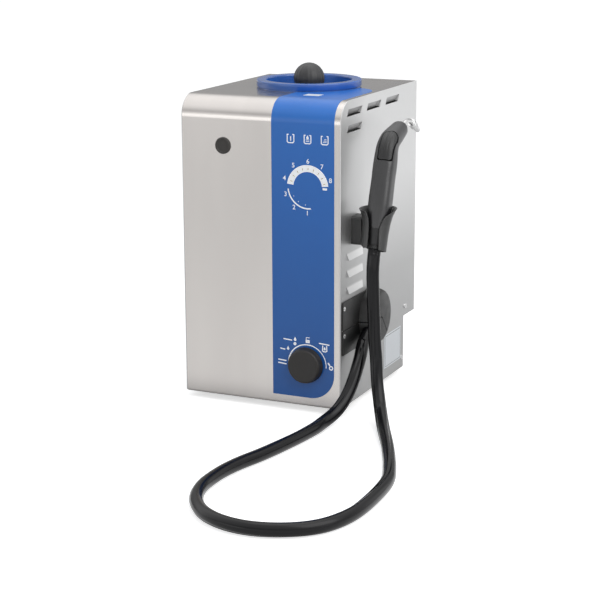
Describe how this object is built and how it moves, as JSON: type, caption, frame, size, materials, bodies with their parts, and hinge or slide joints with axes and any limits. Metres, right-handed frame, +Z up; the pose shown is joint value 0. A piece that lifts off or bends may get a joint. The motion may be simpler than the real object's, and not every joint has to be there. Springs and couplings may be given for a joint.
{
  "type": "steam cleaner",
  "caption": "Upright canister steam cleaner with a sheet steel housing, a ball-topped filling cap, a control film with a selector knob, and a hose with a handpiece in a side holder.",
  "frame": {"origin": "on the floor, under the centre of the housing between its front, rear and side sheets", "axes": "+Z up, front with the control film towards -Y, hose and holder on the +X side"},
  "size_m": [0.3899, 0.6842, 0.4365],
  "materials": {
    "sheet_steel": "satin",
    "black_rubber": "matte",
    "screw_steel": "satin",
    "pale_plate": "satin",
    "blue_film": "satin",
    "blue_plastic": "satin",
    "black_plastic": "satin",
    "grey_plastic": "matte",
    "hose_rubber": "satin",
    "bright_steel": "polished",
    "white_plastic": "satin",
    "boiler_steel": "satin",
    "jacket_felt": "matte",
    "brass": "satin",
    "pump_paint": "satin",
    "board_green": "satin",
    "lamp": "gloss",
    "red_paint": "satin"
  },
  "bodies": {
    "housing": {"front_top_cover": "sheet_steel", "right_side_panel": "sheet_steel", "left_side_panel": "sheet_steel", "rear_panel": "sheet_steel", "base_pan": "sheet_steel", "tank_shelf": "sheet_steel", "feet": "black_rubber", "foot_screws": "screw_steel", "panel_screws": "screw_steel", "rating_plate": "pale_plate", "control_film": "blue_film", "blind_plug": "black_plastic", "selector_switch": "white_plastic", "display_board": "board_green", "indicator_leds": "lamp", "control_board": "board_green", "board_spacers": "screw_steel", "fill_ring": "blue_plastic", "neck_gasket": "black_rubber", "water_tank": "white_plastic", "hose_housing_upper": "black_plastic", "hose_housing_lower": "black_plastic", "hose_housing_screws": "screw_steel", "hose_gland": "hose_rubber", "steam_hose": "hose_rubber", "holder_block": "black_plastic", "holder_cradle": "black_plastic", "holder_screws": "screw_steel", "boiler": "boiler_steel", "boiler_jacket": "jacket_felt", "boiler_legs": "boiler_steel", "heating_element": "boiler_steel", "safety_valve": "brass", "pressure_switch": "boiler_steel", "thermostat": "white_plastic", "level_probe": "white_plastic", "solenoid_valve": "brass", "steam_pipe": "brass", "water_pump": "pump_paint", "pump_mounts": "black_rubber", "water_pipes": "white_plastic", "mains_inlet": "black_plastic", "drain_valve": "brass"},
    "selector": {"selector_knob": "black_plastic", "selector_shaft": "bright_steel"},
    "cap": {"ball_knob": "grey_plastic", "cap_spindle": "bright_steel", "cap_plate": "bright_steel", "cap_seal": "black_rubber"},
    "handpiece": {"handpiece_body": "grey_plastic", "handpiece_collar": "grey_plastic", "handpiece_grommet": "black_rubber", "trigger_spring": "bright_steel", "trigger_switch": "black_plastic", "nozzle_tube": "bright_steel", "nozzle_collar": "bright_steel", "nozzle_tip": "bright_steel"},
    "trigger": {"trigger_button": "grey_plastic"},
    "drain_handle": {"drain_lever": "red_paint"}
  },
  "joints": [
    {"name": "selector_turn", "type": "hinge", "parent": "housing", "child": "selector", "pos_m": [0.06425, -0.133, 0.064], "axis": [0, -1, 0], "range_deg": [-150, 150]},
    {"name": "cap_lift", "type": "slide", "parent": "housing", "child": "cap", "axis": [0, 0, 1], "range_m": [0, 0.08]},
    {"name": "handpiece_lift", "type": "slide", "parent": "housing", "child": "handpiece", "axis": [0, 0.309, 0.9511], "range_m": [0, 0.09]},
    {"name": "trigger_press", "type": "slide", "parent": "handpiece", "child": "trigger", "axis": [0, 0.809, -0.5878], "range_m": [0, 0.0025], "stiffness_N_per_m": 400, "springref_m": -0.001, "deforming": ["trigger_spring"]},
    {"name": "drain_turn", "type": "hinge", "parent": "housing", "child": "drain_handle", "pos_m": [0.05, 0.105, 0.045], "axis": [0, 0, 1], "range_deg": [0, 90]}
  ]
}
